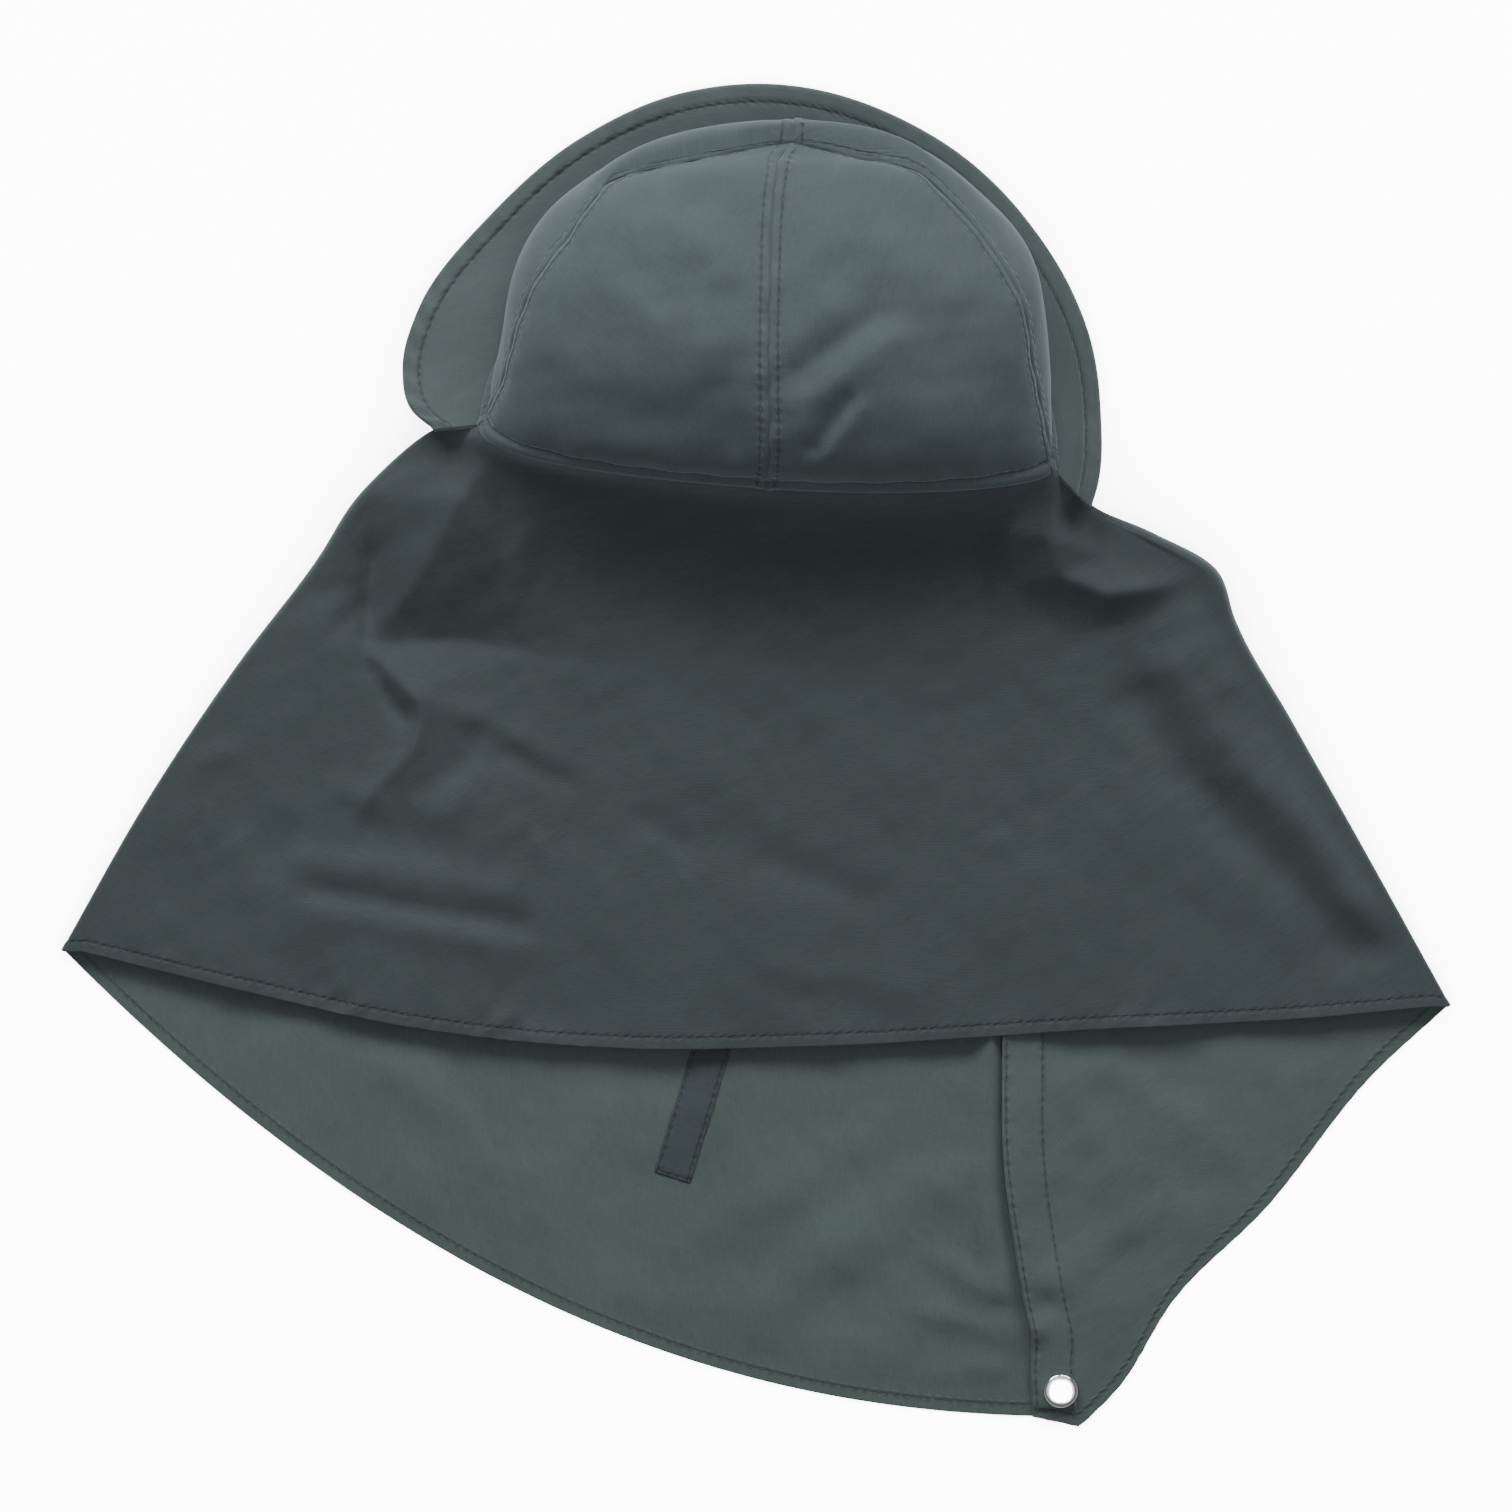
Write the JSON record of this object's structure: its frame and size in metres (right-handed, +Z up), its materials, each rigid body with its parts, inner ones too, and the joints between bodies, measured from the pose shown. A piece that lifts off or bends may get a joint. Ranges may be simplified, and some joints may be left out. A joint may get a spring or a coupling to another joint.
{
  "type": "veiled cap",
  "caption": "Soft sun cap with a panelled crown, a curved stitched brim and a long neck cape that wraps to the front and closes with a snap.",
  "frame": {"origin": "under the middle of the whole cap, on the surface it lies on", "axes": "+Y towards the brim, +X to the wearer's right as seen from behind, +Z up out of the surface"},
  "size_m": [0.5872, 0.5682, 0.0984],
  "materials": {
    "crown_cloth": "matt woven cotton blend",
    "brim_cloth": "matt woven cotton blend",
    "cape_cloth": "matt woven cotton blend",
    "facing_cloth": "matt woven cotton blend",
    "tab_cloth": "matt woven cotton blend",
    "snap_steel": "polished"
  },
  "bodies": {
    "root": {"crown_panel_back_left": "crown_cloth", "crown_panel_back_right": "crown_cloth", "crown_panel_front_left": "crown_cloth", "crown_panel_front_right": "crown_cloth", "brim": "brim_cloth", "cape": "cape_cloth", "placket_facing": "facing_cloth", "tab_strap": "tab_cloth", "snap_cap": "snap_steel", "snap_post": "snap_steel"}
  },
  "joints": []
}
